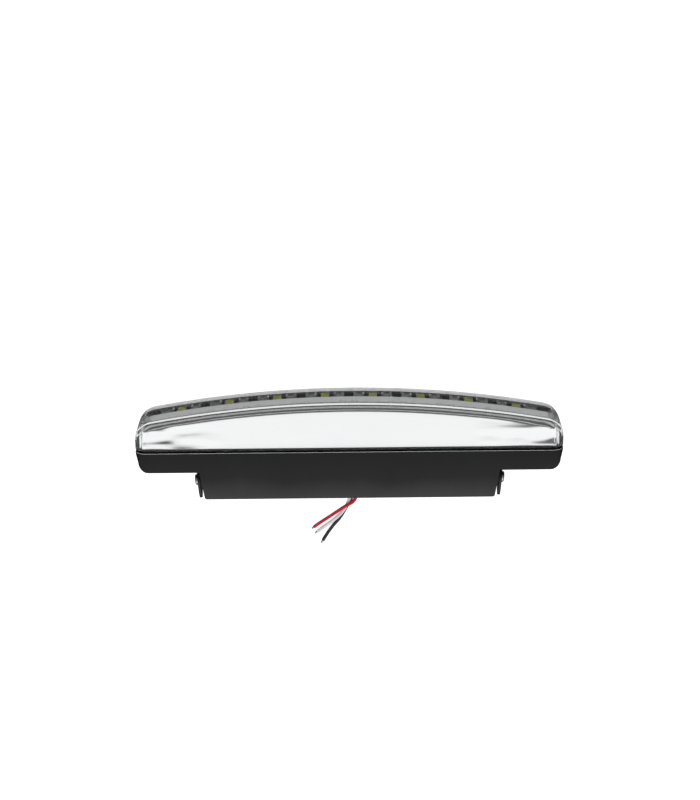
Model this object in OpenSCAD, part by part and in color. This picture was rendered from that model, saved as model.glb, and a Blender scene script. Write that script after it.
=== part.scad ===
// Bar shaped daytime running light with eight LEDs, millimetres.
// The lens faces -Y, the leads leave towards +Y, and the lamp lies on its flat lower side at z = 0.
// Depths called back_* or *_depth are measured from the foremost point of the lens towards the back.

/* [Overall] */
// Length of the lamp along X
body_l = 185; // [179:1:200]
// Height of the lamp along Z
body_h = 22; // [21:0.5:26]
// Depth from the lens front to the back of the rear box
body_d = 44; // [42:0.5:56]
// Radius of the bow of the front, seen from above
bow_r = 470; // [420:10:900]
// Corner radius of the outline, seen from the front
face_corner_r = 4.75; // [3.5:0.25:6]

/* [Lens cover] */
// Depth of the clear cover
lens_d = 22.4; // [21.5:0.1:25]
// Wall of the clear cover
lens_wall = 1.8; // [1.4:0.1:2.2]
// Corner radius of the cover, seen from above
lens_corner_r = 9.5; // [8:0.5:12]

/* [Housing] */
// Depth of the wide section behind the cover
wide_d = 8.6; // [7:0.1:10]
// Distance from the lamp's end to the rear box
box_inset = 27.5; // [22:0.5:34]
// Amount by which each end of the rear box tapers in
box_taper = 2; // [1:0.5:4]
// Wall of the housing
housing_wall = 2; // [1.6:0.1:2.4]
// Length of the spigot that carries the cover
spigot_l = 1.8; // [1.2:0.1:2.4]
// Wall of the spigot
spigot_wall = 1.3; // [1:0.1:1.6]
// Radius of the rear corners of the wide section, seen from above
wide_corner_r = 4.6; // [3:0.1:5.2]
// Radius of the edges of the rear box
box_edge_r = 1.8; // [0.8:0.1:2.4]
// Amount by which each end of the wide section tapers in
wide_taper = 1.2; // [0:0.1:2]

/* [Reflector] */
// Wall of the reflector
mirror_wall = 1.1; // [0.9:0.05:1.4]
// Depth of the LED plate behind the lens front
plate_back = 6.4; // [6:0.1:8]
// Depth at which the sloped bezel starts
bezel_back = 4.5; // [3.8:0.1:5]
// Height of each bezel
bezel_h = 1.95; // [1.5:0.05:2.4]
// Number of LEDs
led_count = 8; // [6:1:8]
// Distance from the lamp's end to the middle of the outermost LED
led_inset = 19; // [18:0.5:20]
// Width of the outer LED cell
cell_w = 9.4; // [8.6:0.1:9.8]
// Height of the LED cells and windows
cell_h = 7.6; // [7:0.1:8.2]
// Depth of the step inside each LED cell
cell_step = 0.5; // [0.3:0.1:0.7]
// Width of the frame round each LED
frame_w = 7.6; // [6.8:0.1:7.8]
// Width of the window between two LEDs
window_w = 4.0; // [3.4:0.1:4.2]
// Width of the rib beside each window
rib_w = 1.2; // [0.9:0.1:1.4]
// Height of the ribs above the plate
rib_rise = 0.6; // [0.3:0.1:0.9]

/* [LEDs and board] */
// Width of an LED package
led_w = 3.6; // [3.2:0.1:4.6]
// Height of an LED package
led_h = 6.8; // [6:0.1:6.9]
// Thickness of an LED package
led_t = 1.8; // [1.6:0.1:2]
// Thickness of the circuit board
board_t = 1; // [0.8:0.1:1.6]
// Clearance above and below the circuit board
board_clear = 0.75; // [0.4:0.05:1.5]

/* [Screws] */
// Distance from the lamp's end to the axis of each reflector screw
pad_inset = 7; // [6.8:0.1:9]
// Bore that sinks the reflector screw
pad_bore = 6.9; // [6.4:0.1:7.1]
// Depth of that bore
pad_bore_d = 3; // [2.6:0.1:3.6]
// Outer diameter of the screw pad
pad_d = 8.7; // [8.3:0.1:9.2]
// Height of the screw pad above the LED plate
pad_rise = 0.6; // [0.4:0.1:1]
// Material left below the sunk screw head
pad_web = 1.4; // [1:0.1:1.8]
// Head diameter of the reflector screw
mirror_screw_head = 5.6; // [5:0.1:6]
// Height of the reflector screw's head
mirror_screw_rise = 2; // [1.6:0.1:2.4]
// Shank diameter of both kinds of screw
screw_shank = 2.9; // [2.5:0.1:3.2]
// Outer diameter of the screw posts and bosses of the housing
post_d = 7; // [6:0.1:7.4]
// Depth to which each screw bites
screw_bite = 8; // [6:0.5:9]

/* [Brackets] */
// Thickness of the steel bracket
bracket_t = 1; // [0.8:0.1:1.6]
// Width of the bracket
bracket_w = 8.4; // [7.6:0.1:10]
// Distance from the back of the rear box to the bracket screw's axis
pivot_inset = 5.8; // [5.2:0.1:6.8]
// Distance by which the bracket reaches past the rear box
bracket_over = 2.6; // [2:0.1:6]
// Bore for the vehicle's own fixing screw
fixing_bore = 3.2; // [2.6:0.1:3.3]
// Head diameter of the bracket screw
bracket_screw_head = 4.8; // [4.4:0.1:5.2]
// Height of the bracket screw's head
bracket_screw_rise = 1.2; // [1.1:0.1:2]
// Clearance of the bracket bore round the screw
bracket_clear = 0.3; // [0.1:0.05:0.5]
// Angle by which each bracket leans in towards the rear box
bracket_lean = 5; // [0:1:8]

/* [Leads] */
// Place of the cable outlet along X
cable_x = -1.6; // [-4:0.1:4]
// Diameter of one lead
lead_d = 1.5; // [1.2:0.1:1.7]
// Diameter of the grommet's flange
grommet_flange_d = 9; // [8.4:0.1:12]
// Thickness of the grommet's flange
grommet_flange_t = 1.2; // [0.8:0.1:1.6]
// Diameter of the grommet in the wall
grommet_neck_d = 7; // [6.9:0.1:8]

/* [Hidden] */
$fn = 64;
// Steps of a full turn for the long bowed faces
bow_fn = 360;

// Small gaps between pieces that slide together
fit = 0.15;
// Overlap used when solids of one piece are joined or cut
eps = 0.5;
// Length by which cutting tools pass the faces they open
pass = 2;
mid_z = body_h / 2;
total_d = body_d + bracket_over;
front_y = -total_d / 2;
bow_centre_y = front_y + bow_r;

// Reflector inside the cover, and the board behind it
mirror_gap = lens_wall + fit;
mirror_inset = mirror_gap + mirror_wall;
mirror_inner_h = body_h - 2 * mirror_inset;
mirror_back = lens_d - spigot_l;
plate_h = mirror_inner_h - 2 * bezel_h;
led_pitch = (body_l - 2 * led_inset) / (led_count - 1);
led_clear = 0.2;
board_back = plate_back + led_t + led_clear;
board_h = mirror_inner_h - 2 * board_clear;
board_edge = 1.6;
// Half angle of the bowed sectors, wide enough to pass the ends
bow_half_angle = asin((body_l / 2 + pass) / (bow_r - board_back - board_t));
board_l = (led_count - 1) * led_pitch + led_w + 2 * board_edge;
peg_d = 1.6;
peg_off = cell_h / 2 + 1.3;

// Screw pads, posts and brackets
pad_x = body_l / 2 - pad_inset;
pad_face = bow_back(plate_back, pad_x) - pad_rise;
pad_floor = pad_face + pad_bore_d;
post_face = pad_floor + pad_web;
thread_d = screw_shank - 0.1;
box_front_w = body_l - 2 * box_inset;
box_back_w = box_front_w - 2 * box_taper;
wide_back = lens_d + wide_d;
wide_inner_back = wide_back - housing_wall;
// Least radius left on the edges of the rear box's hollow
least_edge_r = 0.3;
boss_rise = 0.4;
boss_x = box_front_w / 2 + boss_rise;
boss_l = boss_x - box_back_w / 2 + housing_wall;
pivot_back = body_d - pivot_inset;
bracket_r = bracket_w / 2;
// Reach of the bracket, and of its outer bore, from the axis of the bracket screw
bracket_reach = (total_d - pivot_back - bracket_t * sin(bracket_lean)) / cos(bracket_lean);
fixing_off = bracket_reach - bracket_r + 0.6;

// Leads: where each leaves the grommet, and its hand laid route on the bench
grommet_face = body_d + grommet_flange_t;
lead_off = 1.2;
upper_z = mid_z + 0.8;
lower_z = mid_z - 1.3;
exit_y = front_y + grommet_face;
red_route = [[cable_x - lead_off, exit_y, upper_z], [-2.5, 24, 11.9], [-1.4, 25.8, 11.9],
             [0.4, 27.2, 11.5], [2.9, 29.1, 10.4], [6.2, 32.2, 8.4], [9.7, 35.9, 5.2],
             [13.5, 39.7, 2.2], [17.1, 43, 0.8]];
white_route = [[cable_x + lead_off, exit_y, upper_z], [0, 24, 11.3], [0.7, 26.3, 10.1],
               [1.6, 29.1, 8.3], [3.1, 32.4, 6.3], [5.1, 35.4, 4.6], [7.7, 38.4, 2.9],
               [11.3, 41.7, 1.3], [15.7, 45.3, 0.8]];
black_route = [[cable_x, exit_y, lower_z], [-1.1, 24.3, 9.1], [0, 27.1, 7.6], [1.5, 30.8, 5.4],
               [3.2, 34.6, 3.6], [5.1, 38.1, 2.1], [7.4, 41.2, 1.2], [10, 45, 0.8], [13, 50, 0.8]];

// Depth, behind the foremost point, of a bowed face at the place x
function bow_back(depth, x) = bow_r - sqrt(pow(bow_r - depth, 2) - x * x);
// Angle about the bow's centre at which a bowed face of this depth passes x
function bow_angle(depth, x) = asin(x / (bow_r - depth));
// Place of LED i and of the window after it
function led_x(i) = (i - (led_count - 1) / 2) * led_pitch;
function window_x(i) = led_x(i) + led_pitch / 2;

// Moves a solid drawn with its front at y = 0 to the lamp's place
module behind(depth) translate([0, front_y + depth, 0]) children();

// A sector of a revolved profile: x is the depth behind the front, y is the height
module bowed(half_angle) {
    translate([0, bow_centre_y, 0])
    rotate([0, 0, -90 - half_angle])
    rotate_extrude(angle = 2 * half_angle, $fn = bow_fn)
    translate([bow_r, 0])
    mirror([1, 0])
    children();
}

// A bowed plate between two depths and two heights, as long as the sector
module bowed_plate(depth, t, z_low, z_high, half_angle = bow_half_angle) {
    bowed(half_angle) translate([depth, z_low]) square([t, z_high - z_low]);
}

// Places a piece, drawn round x = 0 with its front at y = 0, on a bowed face
module on_bow(depth, x) {
    angle = bow_angle(depth, x);
    translate([0, bow_centre_y, 0]) rotate([0, 0, angle]) translate([0, depth - bow_r, 0]) children();
}

// Rounded rectangle in the XZ plane, pushed back from one depth to another
module face_block(w, h, r, from_d, to_d) {
    translate([0, front_y + to_d, mid_z])
    rotate([90, 0, 0])
    linear_extrude(to_d - from_d)
    union() {
        square([w - 2 * r, h], center = true);
        square([w, h - 2 * r], center = true);
        for (sx = [-1, 1], sz = [-1, 1]) translate([sx * (w / 2 - r), sz * (h / 2 - r)]) circle(r);
    }
}

// Centre of the round front corner seen from above, from the centre of the bow
corner_x = body_l / 2 - lens_corner_r;
corner_y = -sqrt(pow(bow_r - lens_corner_r, 2) - pow(corner_x, 2));
// Points of the right front corner between two angles, 90 being the straight end
function corner_points(inset, from, steps) = [for (i = [0:steps])
    let (a = from + (90 - from) * i / steps, r = lens_corner_r - inset)
    [corner_x + r * sin(a), corner_y - r * cos(a)]];
function mirrored(points) = [for (i = [len(points) - 1:-1:0]) [-points[i][0], points[i][1]]];

// Outline seen from above with a bowed front and round front corners; inset shrinks it all round
module bow_outline(inset, back_d) {
    r = bow_r - inset;
    turn = asin(corner_x / (bow_r - lens_corner_r));
    front_steps = 12;
    corner_steps = 12;
    front = [for (i = [-front_steps + 1:front_steps - 1])
        let (a = turn * i / front_steps) [r * sin(a), -r * cos(a)]];
    corner = corner_points(inset, turn, corner_steps);
    half_w = body_l / 2 - inset;
    back_y = back_d - bow_r;
    translate([0, bow_centre_y])
    polygon(concat(mirrored(corner), front, corner, [[half_w, back_y], [-half_w, back_y]]));
}

// Solid bowed block: the outline from above crossed with the outline from the front
module bow_block(inset, from_d, to_d) {
    intersection() {
        translate([0, 0, -1]) linear_extrude(body_h + pass) bow_outline(inset, to_d);
        face_block(body_l - 2 * inset, body_h - 2 * inset, face_corner_r - inset, from_d, to_d);
    }
}

// Inside of the reflector: it follows the round corners, then opens straight through the front
module tray_hollow(inset, to_d) {
    mouth_angle = 45;
    mouth_steps = 6;
    corner = corner_points(inset, mouth_angle, mouth_steps);
    half_w = body_l / 2 - inset;
    mouth_y = -bow_r - pass;
    right = concat([[corner[0][0], mouth_y]], corner, [[half_w, to_d - bow_r]]);
    intersection() {
        translate([0, bow_centre_y, -1])
        linear_extrude(body_h + pass)
        polygon(concat(right, mirrored(right)));
        face_block(body_l - 2 * inset, body_h - 2 * inset, face_corner_r - inset, -pass, to_d);
    }
}

module lens_cover() {
    color("lightcyan", 0.4)
    difference() {
        bow_block(0, -1, lens_d);
        bow_block(lens_wall, -1, lens_d + eps);
    }
}

// The plate and the sloped bezels above and below it, in section; they run on into the tray's walls
module plate_section() {
    low = plate_h / 2;
    inner = mirror_inner_h / 2;
    root = inner + mirror_wall;
    root_back = plate_back - (plate_back - bezel_back) * (root - low) / (inner - low);
    plate_end = plate_back + mirror_wall;
    polygon([[plate_end, mid_z + root], [root_back, mid_z + root], [plate_back, mid_z + low],
             [plate_back, mid_z - low], [root_back, mid_z - root], [plate_end, mid_z - root]]);
}

// The stepped recess round an LED and the opening for the LED itself
module led_cell() {
    translate([-cell_w / 2, -eps, mid_z - cell_h / 2]) cube([cell_w, eps + cell_step, cell_h]);
    translate([-frame_w / 2, -eps, mid_z - led_h / 2 - fit])
    cube([frame_w, mirror_wall + 2 * eps, led_h + 2 * fit]);
}

module window_opening() {
    translate([-window_w / 2, -1, mid_z - cell_h / 2]) cube([window_w, mirror_wall + pass, cell_h]);
}

// Two upright ribs beside a window, flared where they meet the bezels
module window_ribs() {
    root = 0.3;
    beside = 0.05;
    flare = 0.7;
    flare_h = 1.4;
    into_bezel = 0.25;
    half_w = rib_w / 2;
    half_h = plate_h / 2 + into_bezel;
    side = [[half_w + flare, -half_h], [half_w + flare / 3, -half_h + flare_h / 2],
            [half_w, -half_h + flare_h], [half_w, half_h - flare_h],
            [half_w + flare / 3, half_h - flare_h / 2], [half_w + flare, half_h]];
    for (s = [-1, 1])
    translate([s * (window_w / 2 + half_w + beside), root, mid_z])
    rotate([90, 0, 0])
    linear_extrude(rib_rise + root)
    polygon(concat(side, mirrored(side)));
}

// Pegs behind the plate that carry the circuit board
module board_pegs() {
    for (s = [-1, 1])
    translate([0, -mirror_wall / 2, mid_z + s * peg_off])
    rotate([-90, 0, 0])
    cylinder(d = peg_d, h = board_back - plate_back - mirror_wall / 2, $fn = 24);
}

// Places a piece drawn along Z round the origin on both screw axes, with its foot at a depth
module at_pads(depth) {
    for (s = [-1, 1]) translate([s * pad_x, front_y + depth, mid_z]) rotate([-90, 0, 0]) children();
}

module reflector() {
    color("gainsboro")
    difference() {
        union() {
            difference() {
                bow_block(mirror_gap, -1, mirror_back);
                tray_hollow(mirror_inset, mirror_back + eps);
            }
            intersection() {
                union() {
                    bowed(bow_half_angle) plate_section();
                    at_pads(pad_face) cylinder(d = pad_d, h = post_face - pad_face);
                }
                bow_block(mirror_gap + mirror_wall / 2, 0, mirror_back);
            }
            for (i = [0:led_count - 2]) on_bow(plate_back, window_x(i)) window_ribs();
            for (i = [0, led_count - 2]) on_bow(plate_back + mirror_wall, window_x(i)) board_pegs();
        }
        for (i = [0:led_count - 1]) on_bow(plate_back, led_x(i)) led_cell();
        for (i = [0:led_count - 2]) on_bow(plate_back, window_x(i)) window_opening();
        at_pads(pad_face - 1) cylinder(d = pad_bore, h = pad_bore_d + 1);
        at_pads(pad_floor - 1) cylinder(d = screw_shank + 2 * fit, h = pad_web + pass);
    }
}

module circuit_board() {
    color("darkslategray")
    intersection() {
        bowed_plate(board_back, board_t, mid_z - board_h / 2, mid_z + board_h / 2);
        translate([-board_l / 2, front_y, 0]) cube([board_l, body_d, body_h]);
    }
}

module led(i) {
    color("khaki")
    on_bow(board_back, led_x(i))
    translate([-led_w / 2, -led_t, mid_z - led_h / 2])
    cube([led_w, led_t, led_h]);
}

// Two chip resistors in each of the outer windows
module board_resistors() {
    chip = [3, 0.8, 1.6];
    chip_pitch = 3.2;
    color("saddlebrown")
    for (i = [0, 1, led_count - 3, led_count - 2])
    on_bow(board_back, window_x(i))
    for (s = [-1, 1])
    translate([-chip[0] / 2, -chip[1], mid_z + s * chip_pitch / 2 - chip[2] / 2])
    cube(chip);
}

// The flat package on the back of the board, let in by the bow of the board
module board_diode() {
    package = [4.4, 2.2, 2.6];
    let_in = 0.02;
    color("black")
    on_bow(board_back + board_t, window_x(floor(led_count / 2) - 1))
    translate([-package[0] / 2, -let_in, mid_z - package[2] / 2])
    cube(package);
}

// Quarter round of a corner at [x, y], turned outwards to the right and to the back
function round_points(x, y, r) = [for (a = [0:15:90]) [x - r + r * cos(a), y - r + r * sin(a)]];

// Outline of the wide section from above, with tapered ends and round rear corners
module wide_outline(inset, front_d) {
    least_r = 0.6;
    r = max(wide_corner_r - inset, least_r);
    corner = round_points(body_l / 2 - wide_taper - inset, wide_back - inset, r);
    right = concat([[body_l / 2 - inset, front_d]], corner);
    translate([0, front_y]) polygon(concat(right, mirrored(right)));
}

// Outline of the rear box from above, with slanted ends
module box_outline(inset) {
    r = max(box_edge_r - inset, least_edge_r);
    half_w = box_front_w / 2 - inset;
    corner = round_points(box_back_w / 2 - inset, body_d - inset, r);
    right = concat([[half_w, wide_inner_back - 1], [half_w, wide_back]], corner);
    translate([0, front_y]) polygon(concat(right, mirrored(right)));
}

// Side view of the rear box, with round rear edges
module box_side(inset) {
    r = max(box_edge_r - inset, least_edge_r);
    half_h = body_h / 2 - inset;
    corner = [for (p = round_points(half_h, body_d - inset, r)) [p[1], p[0]]];
    upper = concat([[lens_d, half_h]], corner);
    lower = [for (i = [len(upper) - 1:-1:0]) [upper[i][0], -upper[i][1]]];
    translate([-body_l / 2, front_y, mid_z])
    rotate([90, 0, 90])
    linear_extrude(body_l)
    polygon(concat(upper, lower));
}

module housing_block(inset, front_d) {
    intersection() {
        translate([0, 0, -1]) linear_extrude(body_h + pass) wide_outline(inset, front_d);
        face_block(body_l - 2 * inset, body_h - 2 * inset, face_corner_r - inset, front_d, wide_back + 1);
    }
    intersection() {
        translate([0, 0, -1]) linear_extrude(body_h + pass) box_outline(inset);
        box_side(inset);
    }
}

// Places a piece drawn along Z, with Y towards the back, on the face of a bracket boss
module at_pivot(side, out = 0) {
    translate([side * boss_x, front_y + pivot_back, mid_z])
    rotate([0, 0, side * bracket_lean])
    rotate([0, side * 90, 0])
    translate([0, 0, out])
    children();
}

// The ring that the cover slides over
module spigot() {
    intersection() {
        bow_block(mirror_gap, 0, lens_d + eps);
        behind(mirror_back) translate([-body_l, 0, -1]) cube([2 * body_l, lens_d, body_h + pass]);
    }
}

module housing() {
    color([0.16, 0.16, 0.17])
    difference() {
        union() {
            difference() {
                union() {
                    housing_block(0, lens_d);
                    for (s = [-1, 1]) at_pivot(s, -boss_l) cylinder(d = post_d, h = boss_l);
                    spigot();
                }
                housing_block(housing_wall, lens_d + spigot_wall);
                bow_block(mirror_gap + spigot_wall, 0, lens_d + pass);
            }
            at_pads(post_face) cylinder(d = post_d, h = wide_inner_back - post_face + eps);
        }
        at_pads(post_face - 1) cylinder(d = thread_d, h = screw_bite + 1);
        for (s = [-1, 1]) at_pivot(s, -boss_l - 1) cylinder(d = thread_d, h = boss_l + pass);
        behind(body_d - housing_wall - 1) translate([cable_x, 0, mid_z]) rotate([-90, 0, 0])
        cylinder(d = grommet_neck_d, h = housing_wall + pass);
    }
}

// Cross recess in a screw head that ends at z = 0
module cross_recess(w, slot, depth) {
    for (a = [0, 90]) rotate([0, 0, a]) translate([-w / 2, -slot / 2, -depth]) cube([w, slot, depth + 1]);
}

module reflector_screw(side) {
    recess_w = 3;
    recess_slot = 0.6;
    recess_depth = 1;
    shank_l = pad_web + screw_bite - 1;
    color("dimgray")
    translate([side * pad_x, front_y + pad_floor, mid_z])
    rotate([90, 0, 0])
    difference() {
        union() {
            cylinder(d = mirror_screw_head, h = mirror_screw_rise);
            translate([0, 0, -shank_l]) cylinder(d = thread_d, h = shank_l + eps);
        }
        translate([0, 0, mirror_screw_rise]) cross_recess(recess_w, recess_slot, recess_depth);
    }
}

module bracket(side) {
    color([0.1, 0.1, 0.1])
    at_pivot(side)
    difference() {
        union() {
            cylinder(r = bracket_r, h = bracket_t);
            translate([0, bracket_reach - bracket_r, 0]) cylinder(r = bracket_r, h = bracket_t);
            translate([-bracket_r, 0, 0]) cube([bracket_w, bracket_reach - bracket_r, bracket_t]);
        }
        translate([0, 0, -1]) cylinder(d = screw_shank + bracket_clear, h = bracket_t + pass);
        translate([0, fixing_off, -1]) cylinder(d = fixing_bore, h = bracket_t + pass);
    }
}

// Pan head with a cone on its outer edge, a cross recess and a shank that bites into the boss
module bracket_screw(side) {
    bevel = 0.4;
    recess_w = 2.6;
    recess_slot = 0.7;
    recess_depth = 0.7;
    bite = bracket_t + boss_l;
    color("silver")
    at_pivot(side, bracket_t)
    difference() {
        union() {
            cylinder(d = bracket_screw_head, h = bracket_screw_rise - bevel);
            translate([0, 0, bracket_screw_rise - bevel - 0.01])
            cylinder(d1 = bracket_screw_head, d2 = bracket_screw_head - 2 * bevel, h = bevel + 0.01);
            translate([0, 0, -bite]) cylinder(d = thread_d, h = bite + eps);
        }
        translate([0, 0, bracket_screw_rise]) cross_recess(recess_w, recess_slot, recess_depth);
    }
}

// Rubber bush with a flange outside the wall and a bead inside it
module cable_grommet() {
    bead = 1;
    bead_out = 0.7;
    bead_d = grommet_neck_d + 2 * bead_out;
    color([0.08, 0.08, 0.08])
    translate([cable_x, front_y + body_d, mid_z])
    rotate([-90, 0, 0]) {
        cylinder(d = grommet_flange_d, h = grommet_flange_t);
        translate([0, 0, -housing_wall - bead]) cylinder(d = grommet_neck_d, h = housing_wall + bead + eps);
        translate([0, 0, -housing_wall - bead]) cylinder(d = bead_d, h = bead);
    }
}

// A tube swept along a smoothed route, with flat ends square to its first and last stretch
function smooth(route, per) = concat(
    [for (i = [0:len(route) - 2], k = [0:per - 1])
        let (p0 = route[max(i - 1, 0)], p1 = route[i], p2 = route[i + 1],
             p3 = route[min(i + 2, len(route) - 1)], t = k / per)
        0.5 * (2 * p1 + (p2 - p0) * t + (2 * p0 - 5 * p1 + 4 * p2 - p3) * t * t
               + (3 * p1 - p0 - 3 * p2 + p3) * t * t * t)],
    [route[len(route) - 1]]);
function unit(v) = v / norm(v);
function heading(path, i) = i == 0 ? [0, 1, 0]
    : i == len(path) - 1 ? unit(path[i] - path[i - 1]) : unit(path[i + 1] - path[i - 1]);

module lead(route, shade) {
    sides = 8;
    path = smooth(route, 2);
    rings = len(path);
    points = [for (i = [0:rings - 1])
        let (d = heading(path, i), across = unit(cross(d, [0, 0, 1])), up = cross(across, d))
        for (s = [0:sides - 1])
            path[i] + lead_d / 2 * (cos(360 * s / sides) * across + sin(360 * s / sides) * up)];
    skin = [for (i = [0:rings - 2], s = [0:sides - 1])
        let (n = (s + 1) % sides)
        [i * sides + s, (i + 1) * sides + s, (i + 1) * sides + n, i * sides + n]];
    front_cap = [for (s = [0:sides - 1]) s];
    back_cap = [for (s = [sides - 1:-1:0]) (rings - 1) * sides + s];
    color(shade) polyhedron(points, concat(skin, [front_cap], [back_cap]));
}

lens_cover();
reflector();
circuit_board();
for (i = [0:led_count - 1]) led(i);
board_resistors();
board_diode();
housing();
reflector_screw(-1);  // reflector_screw_left
reflector_screw(1);  // reflector_screw_right
bracket(-1);  // bracket_left
bracket(1);  // bracket_right
bracket_screw(-1);  // bracket_screw_left
bracket_screw(1);  // bracket_screw_right
cable_grommet();
lead(red_route, [0.75, 0.12, 0.18]);  // wire_red
lead(white_route, [0.85, 0.85, 0.85]);  // wire_white
lead(black_route, [0.07, 0.07, 0.07]);  // wire_black
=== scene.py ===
import math
import bmesh
import bpy
from mathutils import Matrix, Vector


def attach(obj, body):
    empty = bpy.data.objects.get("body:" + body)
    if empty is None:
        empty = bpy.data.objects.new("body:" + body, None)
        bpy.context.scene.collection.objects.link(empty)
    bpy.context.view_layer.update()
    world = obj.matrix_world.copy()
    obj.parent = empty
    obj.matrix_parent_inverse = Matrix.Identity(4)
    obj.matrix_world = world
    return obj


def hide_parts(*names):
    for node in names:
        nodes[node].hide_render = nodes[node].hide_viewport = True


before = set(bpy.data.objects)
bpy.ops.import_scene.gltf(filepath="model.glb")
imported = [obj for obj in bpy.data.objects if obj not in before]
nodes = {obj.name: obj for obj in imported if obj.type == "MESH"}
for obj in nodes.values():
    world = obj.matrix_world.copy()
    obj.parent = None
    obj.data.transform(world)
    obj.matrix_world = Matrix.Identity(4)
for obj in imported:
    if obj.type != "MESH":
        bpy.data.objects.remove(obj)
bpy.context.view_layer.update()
mm = 0.001
print("frame loaded:", len(nodes), "nodes")

# Sizes that several pieces share, in millimetres
lamp = {"length": 185.0, "height": 22.0, "frontY": -23.3, "bowRadius": 470.0, "coverCorner": 9.5,
        "faceCorner": 4.75, "coverBack": 22.4, "coverWall": 1.8,
        "ledRow": 19.0, "ledCount": 8, "boardDepth": 8.4}


def addObject(name, data):
    made = bpy.data.objects.new(name, data)
    bpy.context.scene.collection.objects.link(made)
    return made


# A smooth mesh from points in millimetres, where the marks say which material each face has
def addMesh(name, verts, faces, materials, marks):
    mesh = bpy.data.meshes.new(name)
    mesh.from_pydata([(x * mm, y * mm, z * mm) for x, y, z in verts], [], faces)
    mesh.polygons.foreach_set("use_smooth", [True] * len(mesh.polygons))
    for material in materials:
        mesh.materials.append(material)
    mesh.polygons.foreach_set("material_index", marks)
    mesh.validate()
    return addObject(name, mesh)


# The camera stands in front of the lens and above it, and is held upside down
cameraView = {"place": (-1.753, -295.854, 807.848), "right": (-0.99995, 0.00999, 0.00187),
              "up": (-0.01005, -0.94533, -0.32595), "lens": 87.742, "sensor": 36.0, "clip": (0.01, 20.0)}


def addCamera():
    data = bpy.data.cameras.new("camera")
    data.lens = cameraView["lens"]
    data.sensor_width = cameraView["sensor"]
    data.clip_start, data.clip_end = cameraView["clip"]
    camera = addObject("camera", data)
    right = Vector(cameraView["right"]).normalized()
    up = Vector(cameraView["up"])
    up = (up - right * up.dot(right)).normalized()
    turn = Matrix((right, up, right.cross(up))).transposed().to_4x4()
    camera.matrix_world = Matrix.Translation(Vector(cameraView["place"]) * mm) @ turn
    bpy.context.scene.camera = camera


addCamera()
print("camera placed")

# Material helpers: each finish gets its own tree of nodes, measured in metres on the piece itself
socketNames = {"colour": "Base Color", "metal": "Metallic", "rough": "Roughness", "ior": "IOR",
               "clear": "Transmission Weight", "specular": "Specular IOR Level"}


def startMaterial(name, **values):
    material = bpy.data.materials.new(name)
    material.use_nodes = True
    tree = material.node_tree
    shader = tree.nodes["Principled BSDF"]
    for socket, value in values.items():
        shader.inputs[socketNames[socket]].default_value = value
    return material, tree, shader


# X, Y and Z of the shaded point on its piece, or with "Generated" in the room, of the ray's direction
def addPlace(tree, kind="Object"):
    where = tree.nodes.new("ShaderNodeTexCoord")
    parts = tree.nodes.new("ShaderNodeSeparateXYZ")
    tree.links.new(where.outputs[kind], parts.inputs[0])
    return parts.outputs


def addNoise(tree, size, detail=3.0, stretch=(1, 1, 1)):
    where = tree.nodes.new("ShaderNodeTexCoord")
    mapping = tree.nodes.new("ShaderNodeMapping")
    noise = tree.nodes.new("ShaderNodeTexNoise")
    mapping.inputs["Scale"].default_value = stretch
    noise.inputs["Scale"].default_value = 1 / (size * mm)
    noise.inputs["Detail"].default_value = detail
    tree.links.new(where.outputs["Object"], mapping.inputs["Vector"])
    tree.links.new(mapping.outputs["Vector"], noise.inputs["Vector"])
    return noise.outputs["Fac"]


# Spreads a value that runs over the span to the range from low to high
def addRange(tree, value, low, high, span=(0.0, 1.0)):
    spread = tree.nodes.new("ShaderNodeMapRange")
    spread.inputs["From Min"].default_value, spread.inputs["From Max"].default_value = span
    spread.inputs["To Min"].default_value = low
    spread.inputs["To Max"].default_value = high
    tree.links.new(value, spread.inputs["Value"])
    return spread.outputs["Result"]


def addColours(tree, value, stops):
    ramp = tree.nodes.new("ShaderNodeValToRGB")
    elements = ramp.color_ramp.elements
    while len(elements) < len(stops):
        elements.new(0.5)
    for element, (place, colour) in zip(elements, stops):
        element.position = place
        element.color = (*colour, 1)
    tree.links.new(value, ramp.inputs["Fac"])
    return ramp.outputs["Color"]


# Where a Mix node works on colours, they enter at sockets 6 and 7 and leave at socket 2
def addColourMix(tree, factor, first, second):
    mix = tree.nodes.new("ShaderNodeMix")
    mix.data_type = "RGBA"
    tree.links.new(factor, mix.inputs[0])
    tree.links.new(first, mix.inputs[6])
    tree.links.new(second, mix.inputs[7])
    return mix.outputs[2]


def addMath(tree, operation, *values):
    step = tree.nodes.new("ShaderNodeMath")
    step.operation = operation
    for socket, value in zip(step.inputs, values):
        if isinstance(value, float):
            socket.default_value = value
        else:
            tree.links.new(value, socket)
    return step.outputs[0]


# One layer of relief over the one under it. The mask, where given, says how strong it is from place to place
def addRelief(tree, shader, layer, under=None, mask=None):
    height = addNoise(tree, layer["size"], layer.get("detail", 3.0), layer.get("stretch", (1, 1, 1)))
    if mask:
        height = addMath(tree, "MULTIPLY", height, mask)
    bump = tree.nodes.new("ShaderNodeBump")
    bump.inputs["Distance"].default_value = layer["depth"] * mm
    bump.inputs["Strength"].default_value = layer["strength"]
    tree.links.new(height, bump.inputs["Height"])
    if under:
        tree.links.new(under, bump.inputs["Normal"])
    tree.links.new(bump.outputs["Normal"], shader.inputs["Normal"])
    return bump.outputs["Normal"]


clearFinish = {"colour": (0.985, 0.992, 0.99, 1), "ior": 1.49,
               "wave": {"size": 18, "detail": 1.0, "depth": 0.02, "strength": 0.25}}


def makeClearPlastic():
    material, tree, shader = startMaterial("clearPlastic", colour=clearFinish["colour"], clear=1.0,
                                           rough=0.0, ior=clearFinish["ior"])
    addRelief(tree, shader, clearFinish["wave"])
    return material


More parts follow.
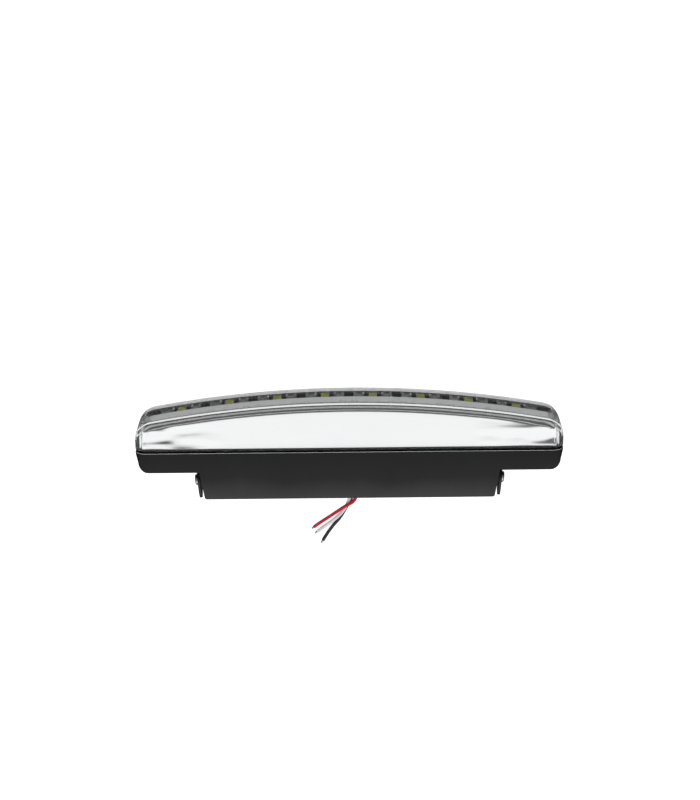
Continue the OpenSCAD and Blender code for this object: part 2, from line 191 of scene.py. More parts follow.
frostFinish = {"colour": (0.9, 0.91, 0.92, 1), "clear": 0.35, "rough": (0.35, 0.6), "patchSize": 1.5,
               "grain": {"size": 0.4, "depth": 0.03, "strength": 0.5}}


def makeFrosted():
    material, tree, shader = startMaterial("frostedEdge", colour=frostFinish["colour"],
                                           clear=frostFinish["clear"], ior=clearFinish["ior"])
    tree.links.new(addRange(tree, addNoise(tree, frostFinish["patchSize"]), *frostFinish["rough"]),
                   shader.inputs["Roughness"])
    addRelief(tree, shader, frostFinish["grain"])
    return material


# Chrome with soft waves, sink marks on the flat top near both ends, and fine streaks along the lamp
chromeFinish = {"colour": (0.945, 0.95, 0.955, 1), "rough": (0.02, 0.06), "patchSize": 6,
                "edgeRound": 0.25, "edgeSamples": 4,
                "waves": {"size": 26, "detail": 1.0, "depth": 0.2, "strength": 0.5},
                "sinks": {"size": 4.2, "detail": 0.0, "stretch": (0.3, 1, 1), "depth": 1.35, "strength": 1.0},
                "sinkSpan": (0.052, 0.089), "sinkAbove": 0.0195,
                "streaks": {"size": 0.7, "detail": 2.0, "stretch": (0.03, 1, 1), "depth": 0.012,
                            "strength": 0.6},
                "grain": {"size": 2.5, "detail": 2.0, "depth": 0.01, "strength": 0.3}}


def makeChrome():
    material, tree, shader = startMaterial("chromedPlastic", colour=chromeFinish["colour"], metal=1.0)
    tree.links.new(addRange(tree, addNoise(tree, chromeFinish["patchSize"]), *chromeFinish["rough"]),
                   shader.inputs["Roughness"])
    soft = tree.nodes.new("ShaderNodeBevel")
    soft.samples = chromeFinish["edgeSamples"]
    soft.inputs["Radius"].default_value = chromeFinish["edgeRound"] * mm
    waves = addRelief(tree, shader, chromeFinish["waves"], soft.outputs["Normal"])
    place = addPlace(tree)
    nearEnds = addRange(tree, addMath(tree, "ABSOLUTE", place["X"]), 0.0, 1.0, chromeFinish["sinkSpan"])
    onTop = addMath(tree, "GREATER_THAN", place["Z"], chromeFinish["sinkAbove"])
    sunk = addRelief(tree, shader, chromeFinish["sinks"], waves, addMath(tree, "MULTIPLY", nearEnds, onTop))
    streaks = addRelief(tree, shader, chromeFinish["streaks"], sunk)
    addRelief(tree, shader, chromeFinish["grain"], streaks)
    return material


# Matt black plastic, a little cloudy, and paler towards the back, where a soft highlight is painted into the
# colour
blackFinish = {"specular": 0.2, "rough": (0.42, 0.56), "patchSize": 4, "paintedSheenSpan": (-0.001, 0.0207),
               "cloudSize": 22, "cloudGain": 0.35, "cloudShift": -0.17,
               "greys": [(0.0, (0.009, 0.009, 0.0095)), (0.55, (0.016, 0.016, 0.0165)),
                         (1.0, (0.05, 0.05, 0.051))],
               "grain": {"size": 0.35, "detail": 2.0, "depth": 0.05, "strength": 0.6}}


def makeHousingPlastic():
    material, tree, shader = startMaterial("blackPlastic", specular=blackFinish["specular"])
    tree.links.new(addRange(tree, addNoise(tree, blackFinish["patchSize"]), *blackFinish["rough"]),
                   shader.inputs["Roughness"])
    # painted highlight: the black grows paler towards the back of the housing
    paintedSheen = addRange(tree, addPlace(tree)["Y"], 0.0, 1.0, blackFinish["paintedSheenSpan"])
    cloud = addMath(tree, "MULTIPLY_ADD", addNoise(tree, blackFinish["cloudSize"]), blackFinish["cloudGain"],
                    blackFinish["cloudShift"])
    tree.links.new(addColours(tree, addMath(tree, "ADD", paintedSheen, cloud), blackFinish["greys"]),
                   shader.inputs["Base Color"])
    addRelief(tree, shader, blackFinish["grain"])
    return material


# The plain finishes: the spread is how far the colour wanders, and the size is that of its patches
plainFinish = {"darkStop": 0.3, "lightStop": 0.7, "roughSpan": (0.85, 1.15), "grainDetail": 2.0,
               "grainStrength": 0.5}


def makePlain(name, colour, rough, size=2.0, spread=0.12, bump=0.02, **values):
    material, tree, shader = startMaterial(name, **values)
    darker = tuple(c * (1 - spread) for c in colour)
    lighter = tuple(min(1, c * (1 + spread)) for c in colour)
    tree.links.new(addColours(tree, addNoise(tree, size), [(plainFinish["darkStop"], darker),
                                                           (plainFinish["lightStop"], lighter)]),
                   shader.inputs["Base Color"])
    smoother, rougher = (rough * share for share in plainFinish["roughSpan"])
    tree.links.new(addRange(tree, addNoise(tree, size / 2), smoother, rougher), shader.inputs["Roughness"])
    addRelief(tree, shader, {"size": size / 3, "detail": plainFinish["grainDetail"], "depth": bump,
                             "strength": plainFinish["grainStrength"]})
    return material


clearPlastic = makeClearPlastic()
frostedEdge = makeFrosted()
chrome = makeChrome()
blackPlastic = makeHousingPlastic()
phosphor = makePlain("phosphor", (0.66, 0.68, 0.07), rough=0.45, size=1.0, spread=0.08)
ledPlastic = makePlain("ledPlastic", (0.72, 0.71, 0.66), rough=0.4, size=1.5, spread=0.05)
solderTin = makePlain("solderTin", (0.62, 0.62, 0.6), rough=0.28, size=0.8, spread=0.1, metal=1.0)
rimGlue = makePlain("rimGlue", (0.004, 0.004, 0.005), rough=0.14, size=4.0, spread=0.2, bump=0.01,
                    specular=0.16)
solderMask = makePlain("solderMask", (0.02, 0.03, 0.026), rough=0.35, size=5.0, spread=0.2)
chipCoat = makePlain("chipCoat", (0.075, 0.035, 0.024), rough=0.35, size=0.8, spread=0.15)
chipCeramic = makePlain("chipCeramic", (0.55, 0.5, 0.45), rough=0.5, size=0.8, spread=0.06)
diodePlastic = makePlain("diodePlastic", (0.02, 0.02, 0.02), rough=0.5, size=0.8)
darkSteel = makePlain("darkSteel", (0.11, 0.11, 0.12), rough=0.32, size=1.5, spread=0.2, metal=1.0)
zincSteel = makePlain("zincSteel", (0.62, 0.62, 0.61), rough=0.27, size=1.2, metal=1.0)
bracketPaint = makePlain("bracketPaint", (0.018, 0.018, 0.018), rough=0.38, size=1.0, spread=0.15, bump=0.03)
rubber = makePlain("rubber", (0.02, 0.02, 0.02), rough=0.6, size=1.0, spread=0.2, bump=0.04)
redCover = makePlain("redCover", (0.62, 0.008, 0.028), rough=0.45, size=3.0, spread=0.06, bump=0.01,
                     specular=0.3)
whiteCover = makePlain("whiteCover", (0.8, 0.8, 0.78), rough=0.4, size=3.0, spread=0.04, bump=0.01)
blackCover = makePlain("blackCover", (0.018, 0.018, 0.02), rough=0.38, size=3.0, spread=0.1, bump=0.01)
tinnedCopper = makePlain("tinnedCopper", (0.72, 0.69, 0.64), rough=0.3, size=0.5, metal=1.0)


# The glued seam is black from outside. Where it is seen through the clear wall, a light silvery grey is
# painted on it as painted light
def paintLightInWall(material, paintedLight):
    tree = material.node_tree
    target = tree.nodes["Principled BSDF"].inputs["Base Color"]
    path = tree.nodes.new("ShaderNodeLightPath")
    inside = tree.nodes.new("ShaderNodeRGB")
    inside.outputs[0].default_value = paintedLight
    # painted light: a light grey takes the place of the black for rays that came through the clear cover
    seen = addMath(tree, "GREATER_THAN", path.outputs["Transmission Depth"], 0.5)
    tree.links.new(addColourMix(tree, seen, target.links[0].from_socket, inside.outputs[0]), target)


paintLightInWall(rimGlue, (0.5, 0.51, 0.52, 1))
print("materials made")


def dress(material, *names):
    for name in names:
        mesh = nodes[name].data
        mesh.materials.clear()
        mesh.materials.append(material)


# The three leads, along the same points as in the CAD model
leads = {"diameter": 1.5, "sides": 24, "skin": 0.985, "cutEnd": 0.9, "bare": 1.6,
         "strands": 7, "strand": 0.15, "strandSides": 8, "strandReach": 0.3, "strandTwist": 0.5,
         "red": [(-2.8, 21.9, 11.8), (-2.5, 24, 11.9), (-1.4, 25.8, 11.9), (0.4, 27.2, 11.5),
                 (2.9, 29.1, 10.4), (6.2, 32.2, 8.4), (9.7, 35.9, 5.2), (13.5, 39.7, 2.2), (17.1, 43, 0.8)],
         "white": [(-0.4, 21.9, 11.8), (0, 24, 11.3), (0.7, 26.3, 10.1), (1.6, 29.1, 8.3), (3.1, 32.4, 6.3),
                   (5.1, 35.4, 4.6), (7.7, 38.4, 2.9), (11.3, 41.7, 1.3), (15.7, 45.3, 0.8)],
         "black": [(-1.6, 21.9, 9.7), (-1.1, 24.3, 9.1), (0, 27.1, 7.6), (1.5, 30.8, 5.4), (3.2, 34.6, 3.6),
                   (5.1, 38.1, 2.1), (7.4, 41.2, 1.2), (10, 45, 0.8), (13, 50, 0.8)]}


# A smooth curve through all the points
def smoothRoute(points, per=10):
    points = [Vector(p) for p in points]
    path = []
    for i in range(len(points) - 1):
        a, b, c, d = (points[max(i - 1, 0)], points[i], points[i + 1], points[min(i + 2, len(points) - 1)])
        for k in range(per):
            t = k / per
            path.append(0.5 * (2 * b + (c - a) * t + (2 * a - 5 * b + 4 * c - d) * t * t
                               + (3 * b - a - 3 * c + d) * t ** 3))
    return path + [points[-1]]


# A round bar along a path. The first ring faces the back, and the offsets shift rings across and up
def sweepTube(path, radii, sides, offsets=None):
    verts, faces = [], []
    for i, point in enumerate(path):
        ahead = path[min(i + 1, len(path) - 1)] - path[max(i - 1, 0)] if i else Vector((0, 1, 0))
        ahead = ahead.normalized()
        across = ahead.cross(Vector((0, 0, 1))).normalized()
        up = across.cross(ahead)
        middle = point + (across * offsets[i][0] + up * offsets[i][1] if offsets else Vector())
        for s in range(sides):
            angle = 2 * math.pi * s / sides
            verts.append(middle + radii[i] * (math.cos(angle) * across + math.sin(angle) * up))
    for i in range(len(path) - 1):
        for s in range(sides):
            n = (s + 1) % sides
            faces.append((i * sides + s, i * sides + n, (i + 1) * sides + n, (i + 1) * sides + s))
    faces.append(tuple(range(sides - 1, -1, -1)))
    faces.append(tuple((len(path) - 1) * sides + s for s in range(sides)))
    return verts, faces


def addLead(colour, cover):
    path = smoothRoute(leads[colour])
    length = sum((b - a).length for a, b in zip(path, path[1:]))
    travelled, cut = 0.0, 0
    while travelled < length - leads["bare"]:
        travelled += (path[cut + 1] - path[cut]).length
        cut += 1
    radius = leads["diameter"] / 2
    covered = path[:cut + 1]
    radii = [radius * leads["skin"]] * len(covered)
    radii[-1] = radius * leads["cutEnd"]
    verts, faces = sweepTube(covered, radii, leads["sides"])
    marks = [0] * len(faces)
    bare = path[cut - 1:]
    outer = leads["strands"] - 1  # these lie round the last one, which is the core of the twist
    for strand in range(leads["strands"]):
        turn = [leads["strandTwist"] * k + 2 * math.pi * strand / outer for k in range(len(bare))]
        reach = 0.0 if strand == outer else leads["strandReach"]
        offsets = [(reach * math.cos(a), reach * math.sin(a)) for a in turn]
        more, skin = sweepTube(bare, [leads["strand"]] * len(bare), leads["strandSides"], offsets)
        faces += [tuple(len(verts) + v for v in face) for face in skin]
        marks += [1] * len(skin)
        verts += more
    piece = addMesh(colour + "Lead", verts, faces, (cover, tinnedCopper), marks)
    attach(piece, "root")
    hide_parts("wire_" + colour)


for leadColour, leadCover in (("red", redCover), ("white", whiteCover), ("black", blackCover)):
    addLead(leadColour, leadCover)
print("leads laid")

# The clear cover, with a frosted bead at its back edge and a glued groove in front of that
cover = {"edge": 0.7, "innerEdge": 0.4, "bead": 0.25, "beadDrop": 0.25, "chamfer": 0.15, "step": 0.05,
         "fillet": 1.5, "filletSteps": 7, "groove": 1.1, "beadRings": 2, "glueRings": 9, "sharp": 50,
         "bendMargin": 2, "shortSteps": 6, "longSteps": 60, "cornerSteps": 8, "wallSteps": 5,
         "frontReach": 2.9, "frontTurns": (0, 5, 10, 15, 20, 25, 30, 36, 43, 51, 60, 70, 80, 90),
         "middleSteps": 12, "middleReach": 8, "weld": 0.0005}


# Depth of the bowed outline seen from above, for a skin that lies this far inside the cover's outside
def planDepth(x, inset):
    radius, corner = lamp["bowRadius"], lamp["coverCorner"]
    cornerX = lamp["length"] / 2 - corner
    cornerDepth = radius - math.sqrt((radius - corner) ** 2 - cornerX ** 2)
    x = abs(x)
    if x <= (radius - inset) * cornerX / (radius - corner):
        return radius - math.sqrt((radius - inset) ** 2 - x * x)
    return cornerDepth - math.sqrt(max((corner - inset) ** 2 - (x - cornerX) ** 2, 0))


# The outline seen from the front, as x and z from the middle and the direction outwards there
def frontOutline(inset):
    halfW = lamp["length"] / 2 - inset
    halfH = lamp["height"] / 2 - inset
    corner = lamp["faceCorner"] - inset
    straightX, straightZ = halfW - corner, halfH - corner
    bend = lamp["length"] / 2 - lamp["coverCorner"] - cover["bendMargin"]
    short, long, turns = cover["shortSteps"], cover["longSteps"], cover["cornerSteps"]
    stops = [-straightX + (straightX - bend) * k / short for k in range(short)]
    stops += [-bend + 2 * bend * k / long for k in range(long)]
    stops += [bend + (straightX - bend) * k / short for k in range(short + 1)]
    quarter = [math.radians(90 * k / turns) for k in range(1, turns + 1)]
    ends = [straightZ - 2 * straightZ * k / short for k in range(1, short + 1)]
    half = [(x, halfH, 0.0, 1.0) for x in stops]
    half += [(straightX + corner * math.sin(a), straightZ + corner * math.cos(a), math.sin(a), math.cos(a))
             for a in quarter]
    half += [(halfW, z, 1.0, 0.0) for z in ends]
    half += [(straightX + corner * math.cos(a), -straightZ - corner * math.sin(a), math.cos(a), -math.sin(a))
             for a in quarter]
    # the rest is this half turned about the middle
    return half[:-1] + [(-x, -z, -nx, -nz) for x, z, nx, nz in half[:-1]]


# One skin of the cover: rings from the back edge forwards, over the rounded edge, and in to the middle line.
# The rim lists the first rings, each as a depth and a distance below the outer face
def coverSkin(inset, edge, rim):
    outline = frontOutline(inset)
    rings = []
    for depth, drop in rim:
        rings.append([(x - nx * drop, depth, z - nz * drop) for x, z, nx, nz in outline])
    rimDepth = rim[-1][0]
    for step in range(1, cover["wallSteps"]):
        ring = []
        for x, z, nx, nz in outline:
            edgeDepth = planDepth(x, inset) + edge * abs(nz)
            ring.append((x, rimDepth + (edgeDepth - rimDepth) * step / cover["wallSteps"], z))
        rings.append(ring)
    for turn in cover["frontTurns"]:
        move = cover["frontReach"] * (1 - math.cos(math.radians(turn)))
        left = edge - min(move, edge)
        rounding = edge - math.sqrt(max(edge ** 2 - left ** 2, 0))
        ring = []
        for x, z, nx, nz in outline:
            x, z = x - nx * move, z - nz * move
            ring.append((x, planDepth(x, inset) + rounding * abs(nz), z))
        rings.append(ring)
    last = rings[-1]
    reach = max(x for x, d, z in last)
    for k in range(1, cover["middleSteps"] + 1):
        flat = 1 - k / cover["middleSteps"]
        squeeze = 1 - (1 - flat) * cover["middleReach"] / reach
        rings.append([(x * squeeze, planDepth(x * squeeze, inset), z * flat) for x, d, z in last])
    return rings


# The outside of the back edge: a small bead, then a groove that runs out in a fillet
def coverRim():
    back, bead, beadDrop, step = lamp["coverBack"], cover["bead"], cover["beadDrop"], cover["step"]
    fillet, groove, steps = cover["fillet"], cover["groove"], cover["filletSteps"]
    rim = [(back, beadDrop + cover["chamfer"]), (back - step, beadDrop), (back - bead, beadDrop),
           (back - bead - step, groove)]
    start = back - bead - step - fillet
    first = math.acos(1 - groove / fillet)
    for k in range(1, steps + 1):
        a = first * (1 - k / steps)
        rim.append((start + fillet * math.sin(a), fillet * (1 - math.cos(a))))
    return rim


def addCover():
    verts, faces, marks = [], [], []
    clear, frosted, glued = 0, 1, 2
    innerRim = [(lamp["coverBack"], 0.0)]
    for rings, outward in ((coverSkin(0.0, cover["edge"], coverRim()), True),
                           (coverSkin(lamp["coverWall"], cover["innerEdge"], innerRim), False)):
        count = len(rings[0])
        first = len(verts)
        verts += [(x, lamp["frontY"] + d, z + lamp["height"] / 2) for ring in rings for x, d, z in ring]
        for r in range(len(rings) - 1):
            mark = clear
            if outward and r < cover["glueRings"]:
                mark = frosted if r < cover["beadRings"] else glued
            for i in range(count):
                n = (i + 1) % count
                face = (first + r * count + i, first + r * count + n,
                        first + (r + 1) * count + n, first + (r + 1) * count + i)
                faces.append(face if outward else face[::-1])
                marks.append(mark)
        if outward:
            outerCount = len(verts)
    for i in range(count):  # the flat back edge joins both skins
        n = (i + 1) % count
        faces.append((outerCount + i, outerCount + n, n, i))
        marks.append(frosted)
    piece = addMesh("coverShell", verts, faces, (clearPlastic, frostedEdge, rimGlue), marks)
    solid = bmesh.new()
    solid.from_mesh(piece.data)
    bmesh.ops.remove_doubles(solid, verts=solid.verts, dist=cover["weld"] * mm)
    bmesh.ops.recalc_face_normals(solid, faces=solid.faces)
    for edge in solid.edges:
        if len(edge.link_faces) == 2 and edge.calc_face_angle(0) > math.radians(cover["sharp"]):
            edge.smooth = False
    solid.to_mesh(piece.data)
    solid.free()
    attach(piece, "root")
    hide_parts("lens_cover")


addCover()
print("cover made")

# The chromed reflector: its CAD shape with the two long edges of the tray rolled over in front.
# A bevel of equal sides makes each roll, which is then stretched inwards and down to its own size
mirror = {"gap": 1.95, "lip": 1.0, "lipSteps": 12, "topRoll": (2.5, 1.8), "lowRoll": (0.4, 0.4),
          "weld": 0.0002, "flat": 0.3, "nearFront": 0.12, "nearEdge": 0.15, "corner": 50, "slack": 0.02,
          "sliver": 0.001, "sharp": 28}


# Distance inwards from the tray's outline seen from above, and the direction inwards
def lipInset(x, depth):
    radius, corner, gap = lamp["bowRadius"], lamp["coverCorner"], mirror["gap"]
    cornerX = lamp["length"] / 2 - corner
    cornerDepth = radius - math.sqrt((radius - corner) ** 2 - cornerX ** 2)
    side = math.copysign(1, x)
    across, ahead = abs(x) - cornerX, cornerDepth - depth
    if ahead <= 0 and across > 0:
        return corner - gap - across, Vector((-side, 0, 0))
    if across * (radius - cornerDepth) > cornerX * ahead:
        reach = math.hypot(across, ahead)
        return corner - gap - reach, Vector((-side * across, ahead, 0)) / reach
    reach = math.hypot(x, radius - depth)
    return radius - gap - reach, Vector((-x, radius - depth, 0)) / reach


def onLip(vert):
    x, y, z = (c / mm for c in vert.co)
    half = lamp["height"] / 2
    return (abs(y - lamp["frontY"] - planDepth(x, mirror["gap"])) < mirror["nearFront"]
            and abs(z - half) > half - mirror["gap"] - mirror["nearEdge"])


def rollLip(solid):
    lip, middle = mirror["lip"], lamp["height"] / 2
    lipEdges = [edge for edge in solid.edges if onLip(edge.verts[0]) and onLip(edge.verts[1])
                and edge.calc_face_angle(0) > math.radians(mirror["corner"])]
    bmesh.ops.bevel(solid, geom=lipEdges, offset=lip * mm, offset_type="OFFSET", segments=mirror["lipSteps"],
                    profile=0.5, affect="EDGES", clamp_overlap=False)
    for vert in solid.verts:
        x, y, z = (c / mm for c in vert.co)
        inset, inward = lipInset(x, y - lamp["frontY"])
        above = math.copysign(1, z - middle)
        drop = middle - mirror["gap"] - abs(z - middle)
        if inset < lip + mirror["slack"] and drop < lip + mirror["slack"]:
            width, height = mirror["topRoll" if above > 0 else "lowRoll"]
            vert.co += inward * max(inset, 0) * (width / lip - 1) * mm
            vert.co.z -= above * max(drop, 0) * (height / lip - 1) * mm
    bmesh.ops.remove_doubles(solid, verts=solid.verts, dist=2 * mirror["sliver"] * mm)
    bmesh.ops.dissolve_degenerate(solid, dist=mirror["sliver"] * mm, edges=solid.edges)
    print("lip rolled:", len(lipEdges), "edges")


def addReflector():
    mesh = nodes["reflector"].data.copy()
    mesh.name = "chromedTray"
    solid = bmesh.new()
    solid.from_mesh(mesh)
    bmesh.ops.remove_doubles(solid, verts=solid.verts, dist=mirror["weld"] * mm)
    bmesh.ops.dissolve_limit(solid, angle_limit=math.radians(mirror["flat"]), verts=solid.verts,
                             edges=solid.edges)
    rollLip(solid)
    for face in solid.faces:
        face.smooth = True
    for edge in solid.edges:
        edge.smooth = edge.calc_face_angle(0) < math.radians(mirror["sharp"])
    solid.to_mesh(mesh)
    solid.free()
    mesh.materials.clear()
    mesh.materials.append(chrome)
    piece = addObject("chromedTray", mesh)
    even = piece.modifiers.new("evenNormals", "WEIGHTED_NORMAL")
    even.keep_sharp = True
    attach(piece, "root")
    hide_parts("reflector")


addReflector()
print("reflector made")

# LEDs: a pale body with a raised rim, a domed filling of phosphor and tinned feet above and below
led = {"width": 3.6, "height": 6.8, "rise": 1.7, "bodyRound": 0.12, "rim": 0.18, "rimRound": 0.06,
       "glow": (3.0, 6.4), "glowSink": 0.03, "glowDome": 0.08, "glowGrid": (6, 10),
       "footSpread": 0.32, "footHalf": 0.4, "footRise": 0.55, "footSpan": (-0.1, 0.05), "footRound": 0.04}


# A box with rounded edges, whose faces get this material mark
def addBlock(solid, low, high, mark, bevel, steps=2):
    made = bmesh.ops.create_cube(solid, size=1.0)["verts"]
    for vert in made:
        vert.co = Vector([(low[k] + high[k]) / 2 + vert.co[k] * (high[k] - low[k]) for k in range(3)])
    faces = {face for vert in made for face in vert.link_faces}
    edges = {edge for face in faces for edge in face.edges}
    faces |= set(bmesh.ops.bevel(solid, geom=list(edges), offset=bevel, segments=steps, profile=0.5,
                                 affect="EDGES")["faces"])
    for face in faces:
        if face.is_valid:
            face.material_index = mark
            face.smooth = True


# Stands a piece, drawn in millimetres round x = 0 with its front towards -y, on the bowed board
def placeOnBow(solid, x, depth):
    radius = lamp["bowRadius"] - depth
    angle = math.asin(x / radius)
    centre = Vector((0, lamp["frontY"] + lamp["bowRadius"], 0))
    turn = Matrix.Rotation(angle, 4, "Z")
    for vert in solid.verts:
        vert.co = (centre + turn @ (vert.co + Vector((0, -radius, 0)))) * mm


sharpEdge = 35  # degrees between two faces of an LED or a chip, from where their edge stays crisp


def finishPiece(solid, name, materials, replaced):
    bmesh.ops.recalc_face_normals(solid, faces=solid.faces)
    for edge in solid.edges:
        edge.smooth = edge.calc_face_angle(0) < math.radians(sharpEdge)
    mesh = bpy.data.meshes.new(name)
    solid.to_mesh(mesh)
    solid.free()
    for material in materials:
        mesh.materials.append(material)
    piece = addObject(name, mesh)
    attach(piece, "root")
    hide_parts(replaced)


def ledPlace(i):
    pitch = (lamp["length"] - 2 * lamp["ledRow"]) / (lamp["ledCount"] - 1)
    return (i - (lamp["ledCount"] - 1) / 2) * pitch


def addPhosphor(solid, middle, mark):
    glowW, glowH = led["glow"]
    columns, rows = led["glowGrid"]
    grid = {}
    for c in range(columns + 1):
        for r in range(rows + 1):
            u, v = 2 * c / columns - 1, 2 * r / rows - 1
            dome = led["glowDome"] * (1 - u ** 4) * (1 - v ** 6)
            grid[c, r] = solid.verts.new((u * glowW / 2, -led["rise"] + led["glowSink"] - dome,
                                          middle + v * glowH / 2))
    for c in range(columns):
        for r in range(rows):
            face = solid.faces.new((grid[c, r], grid[c + 1, r], grid[c + 1, r + 1], grid[c, r + 1]))
            face.material_index = mark
            face.smooth = True


def addLed(i):
    solid = bmesh.new()
    body, glow, tin = 0, 1, 2
    w, h, front = led["width"], led["height"], -led["rise"]
    glowW, glowH = led["glow"]
    middle, rim = lamp["height"] / 2, led["rim"]
    footLow, footHigh = led["footSpan"]
    addBlock(solid, (-w / 2, front + rim, middle - h / 2), (w / 2, 0, middle + h / 2), body, led["bodyRound"])
    for s in (-1, 1):
        addBlock(solid, (s * (w + glowW) / 4 - (w - glowW) / 4, front, middle - h / 2),
                 (s * (w + glowW) / 4 + (w - glowW) / 4, front + rim, middle + h / 2), body, led["rimRound"])
        addBlock(solid, (-glowW / 2, front, middle + s * (h + glowH) / 4 - (h - glowH) / 4),
                 (glowW / 2, front + rim, middle + s * (h + glowH) / 4 + (h - glowH) / 4), body,
                 led["rimRound"])
        for k in (-1, 0, 1):
            x, z = k * w * led["footSpread"], middle + s * h / 2
            addBlock(solid, (x - led["footHalf"], -led["footRise"], z + footLow),
                     (x + led["footHalf"], 0, z + footHigh), tin, led["footRound"])
    addPhosphor(solid, middle, glow)
    placeOnBow(solid, ledPlace(i), lamp["boardDepth"])
    finishPiece(solid, "ledPackage%d" % (i + 1), (ledPlastic, phosphor, solderTin), "led_%d" % (i + 1))


for ledIndex in range(lamp["ledCount"]):
    addLed(ledIndex)

# Two chip resistors in each of the outer windows: ceramic body, dark coat and tinned caps
chips = {"size": (3.0, 0.8, 1.6), "pitch": 3.2, "windows": (0, 1, 5, 6), "round": 0.03,
         "bodyLow": 0.06, "bodyInset": 0.04, "bodyLift": 0.02,
         "coatInset": 0.08, "coatGap": 0.04, "coatThick": 0.1,
         "cap": 0.5, "capLow": 0.03, "capRound": 0.1, "capSteps": 3}


def addChip(solid, z):
    coat, ceramic, tin = 0, 1, 2
    length, rise, height = chips["size"]
    cap, inset = chips["cap"], chips["bodyInset"]
    addBlock(solid, (-length / 2 + cap, -rise + chips["bodyLow"], z - height / 2 + inset),
             (length / 2 - cap, -chips["bodyLift"], z + height / 2 - inset), ceramic, chips["round"])
    addBlock(solid, (-length / 2 + cap + chips["coatGap"], -rise, z - height / 2 + chips["coatInset"]),
             (length / 2 - cap - chips["coatGap"], -rise + chips["coatThick"],
              z + height / 2 - chips["coatInset"]), coat, chips["round"])
    for side in (-1, 1):
        x = side * (length - cap) / 2
        addBlock(solid, (x - cap / 2, -rise + chips["capLow"], z - height / 2),
                 (x + cap / 2, 0, z + height / 2), tin, chips["capRound"], chips["capSteps"])


def addChips():
    whole = bmesh.new()
    halfPitch = (ledPlace(1) - ledPlace(0)) / 2
    for window in chips["windows"]:
        for s in (-1, 1):
            solid = bmesh.new()
            addChip(solid, lamp["height"] / 2 + s * chips["pitch"] / 2)
            placeOnBow(solid, ledPlace(window) + halfPitch, lamp["boardDepth"])
            part = bpy.data.meshes.new("chipPart")
            solid.to_mesh(part)
            solid.free()
            whole.from_mesh(part)
            bpy.data.meshes.remove(part)
    finishPiece(whole, "chipResistors", (chipCoat, chipCeramic, solderTin), "board_resistors")


addChips()
print("LEDs and chips made")

# CAD solids that keep their shape
dress(solderMask, "circuit_board")
dress(diodePlastic, "board_diode")
dress(blackPlastic, "housing")
dress(darkSteel, "reflector_screw_left", "reflector_screw_right")
dress(bracketPaint, "bracket_left", "bracket_right")
dress(zincSteel, "bracket_screw_left", "bracket_screw_right")
dress(rubber, "cable_grommet")
print("CAD solids dressed")

# A white table and a soft room. Rays that were thrown back see both darker than the camera does.
# A depth counts the surfaces that a ray has met, so a limit lies half way between two of them.
# In the cover's wall a ray has come through one or two, which is what wall and wallReach take in
rays = {"none": 0.5, "once": 1.5, "wall": 1.5, "wallReach": 1.1, "wallBounces": 3.5, "twoWalls": 3.5}


# 1 for camera rays and for rays that only passed through the clear cover or ran inside its wall,
# 0 for rays that another surface threw back
def addStraight(tree, path):
    glossy, diffuse = path.outputs["Glossy Depth"], path.outputs["Diffuse Depth"]
    unbroken = addMath(tree, "LESS_THAN", addMath(tree, "ADD", glossy, diffuse), rays["none"])
    wall = addMath(tree, "COMPARE", path.outputs["Transmission Depth"], rays["wall"], rays["wallReach"])
    inside = addMath(tree, "MULTIPLY", wall, addMath(tree, "GREATER_THAN", glossy, rays["wallBounces"]))
    guided = addMath(tree, "MULTIPLY", inside, addMath(tree, "LESS_THAN", diffuse, rays["none"]))
    seen = addMath(tree, "MAXIMUM", unbroken, guided)
    return addMath(tree, "SUBTRACT", seen, path.outputs["Is Shadow Ray"])


def addMix(tree, factor, first, second):
    mix = tree.nodes.new("ShaderNodeMixShader")
    tree.links.new(factor, mix.inputs[0])
    tree.links.new(first, mix.inputs[1])
    tree.links.new(second, mix.inputs[2])
    return mix.outputs[0]


# A white light of this strength, which is a number or a socket
def addGlow(tree, strength, kind="ShaderNodeEmission"):
    glow = tree.nodes.new(kind)
    glow.inputs["Color"].default_value = (1, 1, 1, 1)
    if isinstance(strength, float):
        glow.inputs["Strength"].default_value = strength
    else:
        tree.links.new(strength, glow.inputs["Strength"])
    return glow.outputs[0]


# The glow in the rolled lip fades with the distance from the lamp, over the span in metres
table = {"size": 3.0, "grey": 0.8, "glow": 0.75, "inChrome": 0.06,
         "inLip": (0.9, 0.2), "lipSpan": (0.05, 0.22)}


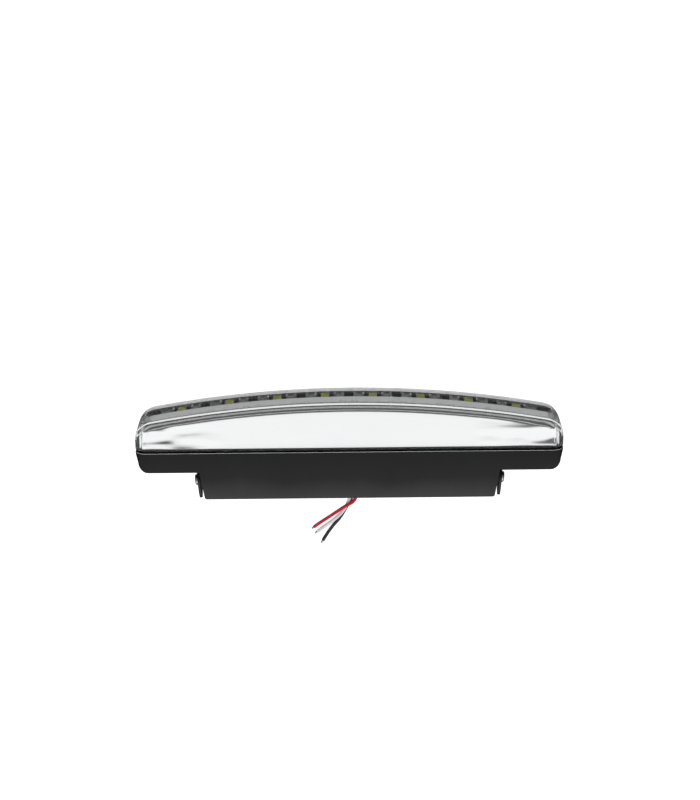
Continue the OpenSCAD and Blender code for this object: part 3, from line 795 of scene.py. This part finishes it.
def addTable():
    half = table["size"] / 2
    mesh = bpy.data.meshes.new("table")
    mesh.from_pydata([(-half, -half, 0), (half, -half, 0), (half, half, 0), (-half, half, 0)], [],
                     [(0, 1, 2, 3)])
    material = bpy.data.materials.new("tablePaper")
    material.use_nodes = True
    tree = material.node_tree
    tree.nodes.clear()
    out = tree.nodes.new("ShaderNodeOutputMaterial")
    path = tree.nodes.new("ShaderNodeLightPath")
    paper = tree.nodes.new("ShaderNodeBsdfDiffuse")
    paper.inputs["Color"].default_value = (table["grey"], table["grey"], table["grey"], 1)
    lit = tree.nodes.new("ShaderNodeAddShader")
    tree.links.new(paper.outputs[0], lit.inputs[0])
    tree.links.new(addGlow(tree, table["glow"]), lit.inputs[1])
    mirrored = addMath(tree, "GREATER_THAN", path.outputs["Glossy Depth"], rays["none"])
    once = addMath(tree, "LESS_THAN", path.outputs["Glossy Depth"], rays["once"])
    through = addMath(tree, "GREATER_THAN", path.outputs["Transmission Depth"], rays["twoWalls"])
    away = addMath(tree, "ABSOLUTE", addPlace(tree)["Y"])
    inLip = addGlow(tree, addRange(tree, away, *table["inLip"], table["lipSpan"]))
    inChrome = addMix(tree, addMath(tree, "MULTIPLY", once, through), addGlow(tree, table["inChrome"]), inLip)
    thrown = addMix(tree, mirrored, paper.outputs[0], inChrome)
    tree.links.new(addMix(tree, addStraight(tree, path), thrown, lit.outputs[0]), out.inputs["Surface"])
    mesh.materials.append(material)
    addObject("table", mesh)


# Greys of the sky from the horizon up, in front of the lamp and behind it, and where one turns into the other
room = {"fill": 0.9, "turn": (0.08, 0.22),
        "skyFront": [(0.0, 0.04), (0.08, 0.08), (0.16, 0.5), (0.38, 0.6), (0.5, 0.03),
                     (0.925, 0.04), (0.94, 0.85), (0.955, 0.85), (0.968, 0.06), (1.0, 0.06)],
        "skyBehind": [(0.0, 0.1), (0.2, 0.25), (0.45, 1.0), (0.93, 1.0), (0.965, 0.9), (1.0, 0.8)]}


def addRoom():
    world = bpy.data.worlds.new("room")
    bpy.context.scene.world = world
    world.use_nodes = True
    tree = world.node_tree
    tree.nodes.clear()
    out = tree.nodes.new("ShaderNodeOutputWorld")
    path = tree.nodes.new("ShaderNodeLightPath")
    place = addPlace(tree, "Generated")
    front, behind = (addColours(tree, place["Z"], [(height, (grey,) * 3) for height, grey in room[side]])
                     for side in ("skyFront", "skyBehind"))
    sky = tree.nodes.new("ShaderNodeBackground")
    tree.links.new(addColourMix(tree, addRange(tree, place["Y"], 0.0, 1.0, room["turn"]), front, behind),
                   sky.inputs["Color"])
    soft = addMath(tree, "GREATER_THAN", path.outputs["Diffuse Depth"], rays["none"])
    thrown = addMix(tree, soft, sky.outputs[0], addGlow(tree, room["fill"], "ShaderNodeBackground"))
    white = addGlow(tree, 1.0, "ShaderNodeBackground")
    tree.links.new(addMix(tree, addStraight(tree, path), thrown, white), out.inputs["Surface"])


addTable()
addRoom()
bpy.context.scene.view_settings.view_transform = "Standard"
cycles = bpy.context.scene.cycles
cycles.max_bounces, cycles.glossy_bounces, cycles.transmission_bounces = 24, 16, 24
print("room and table made")
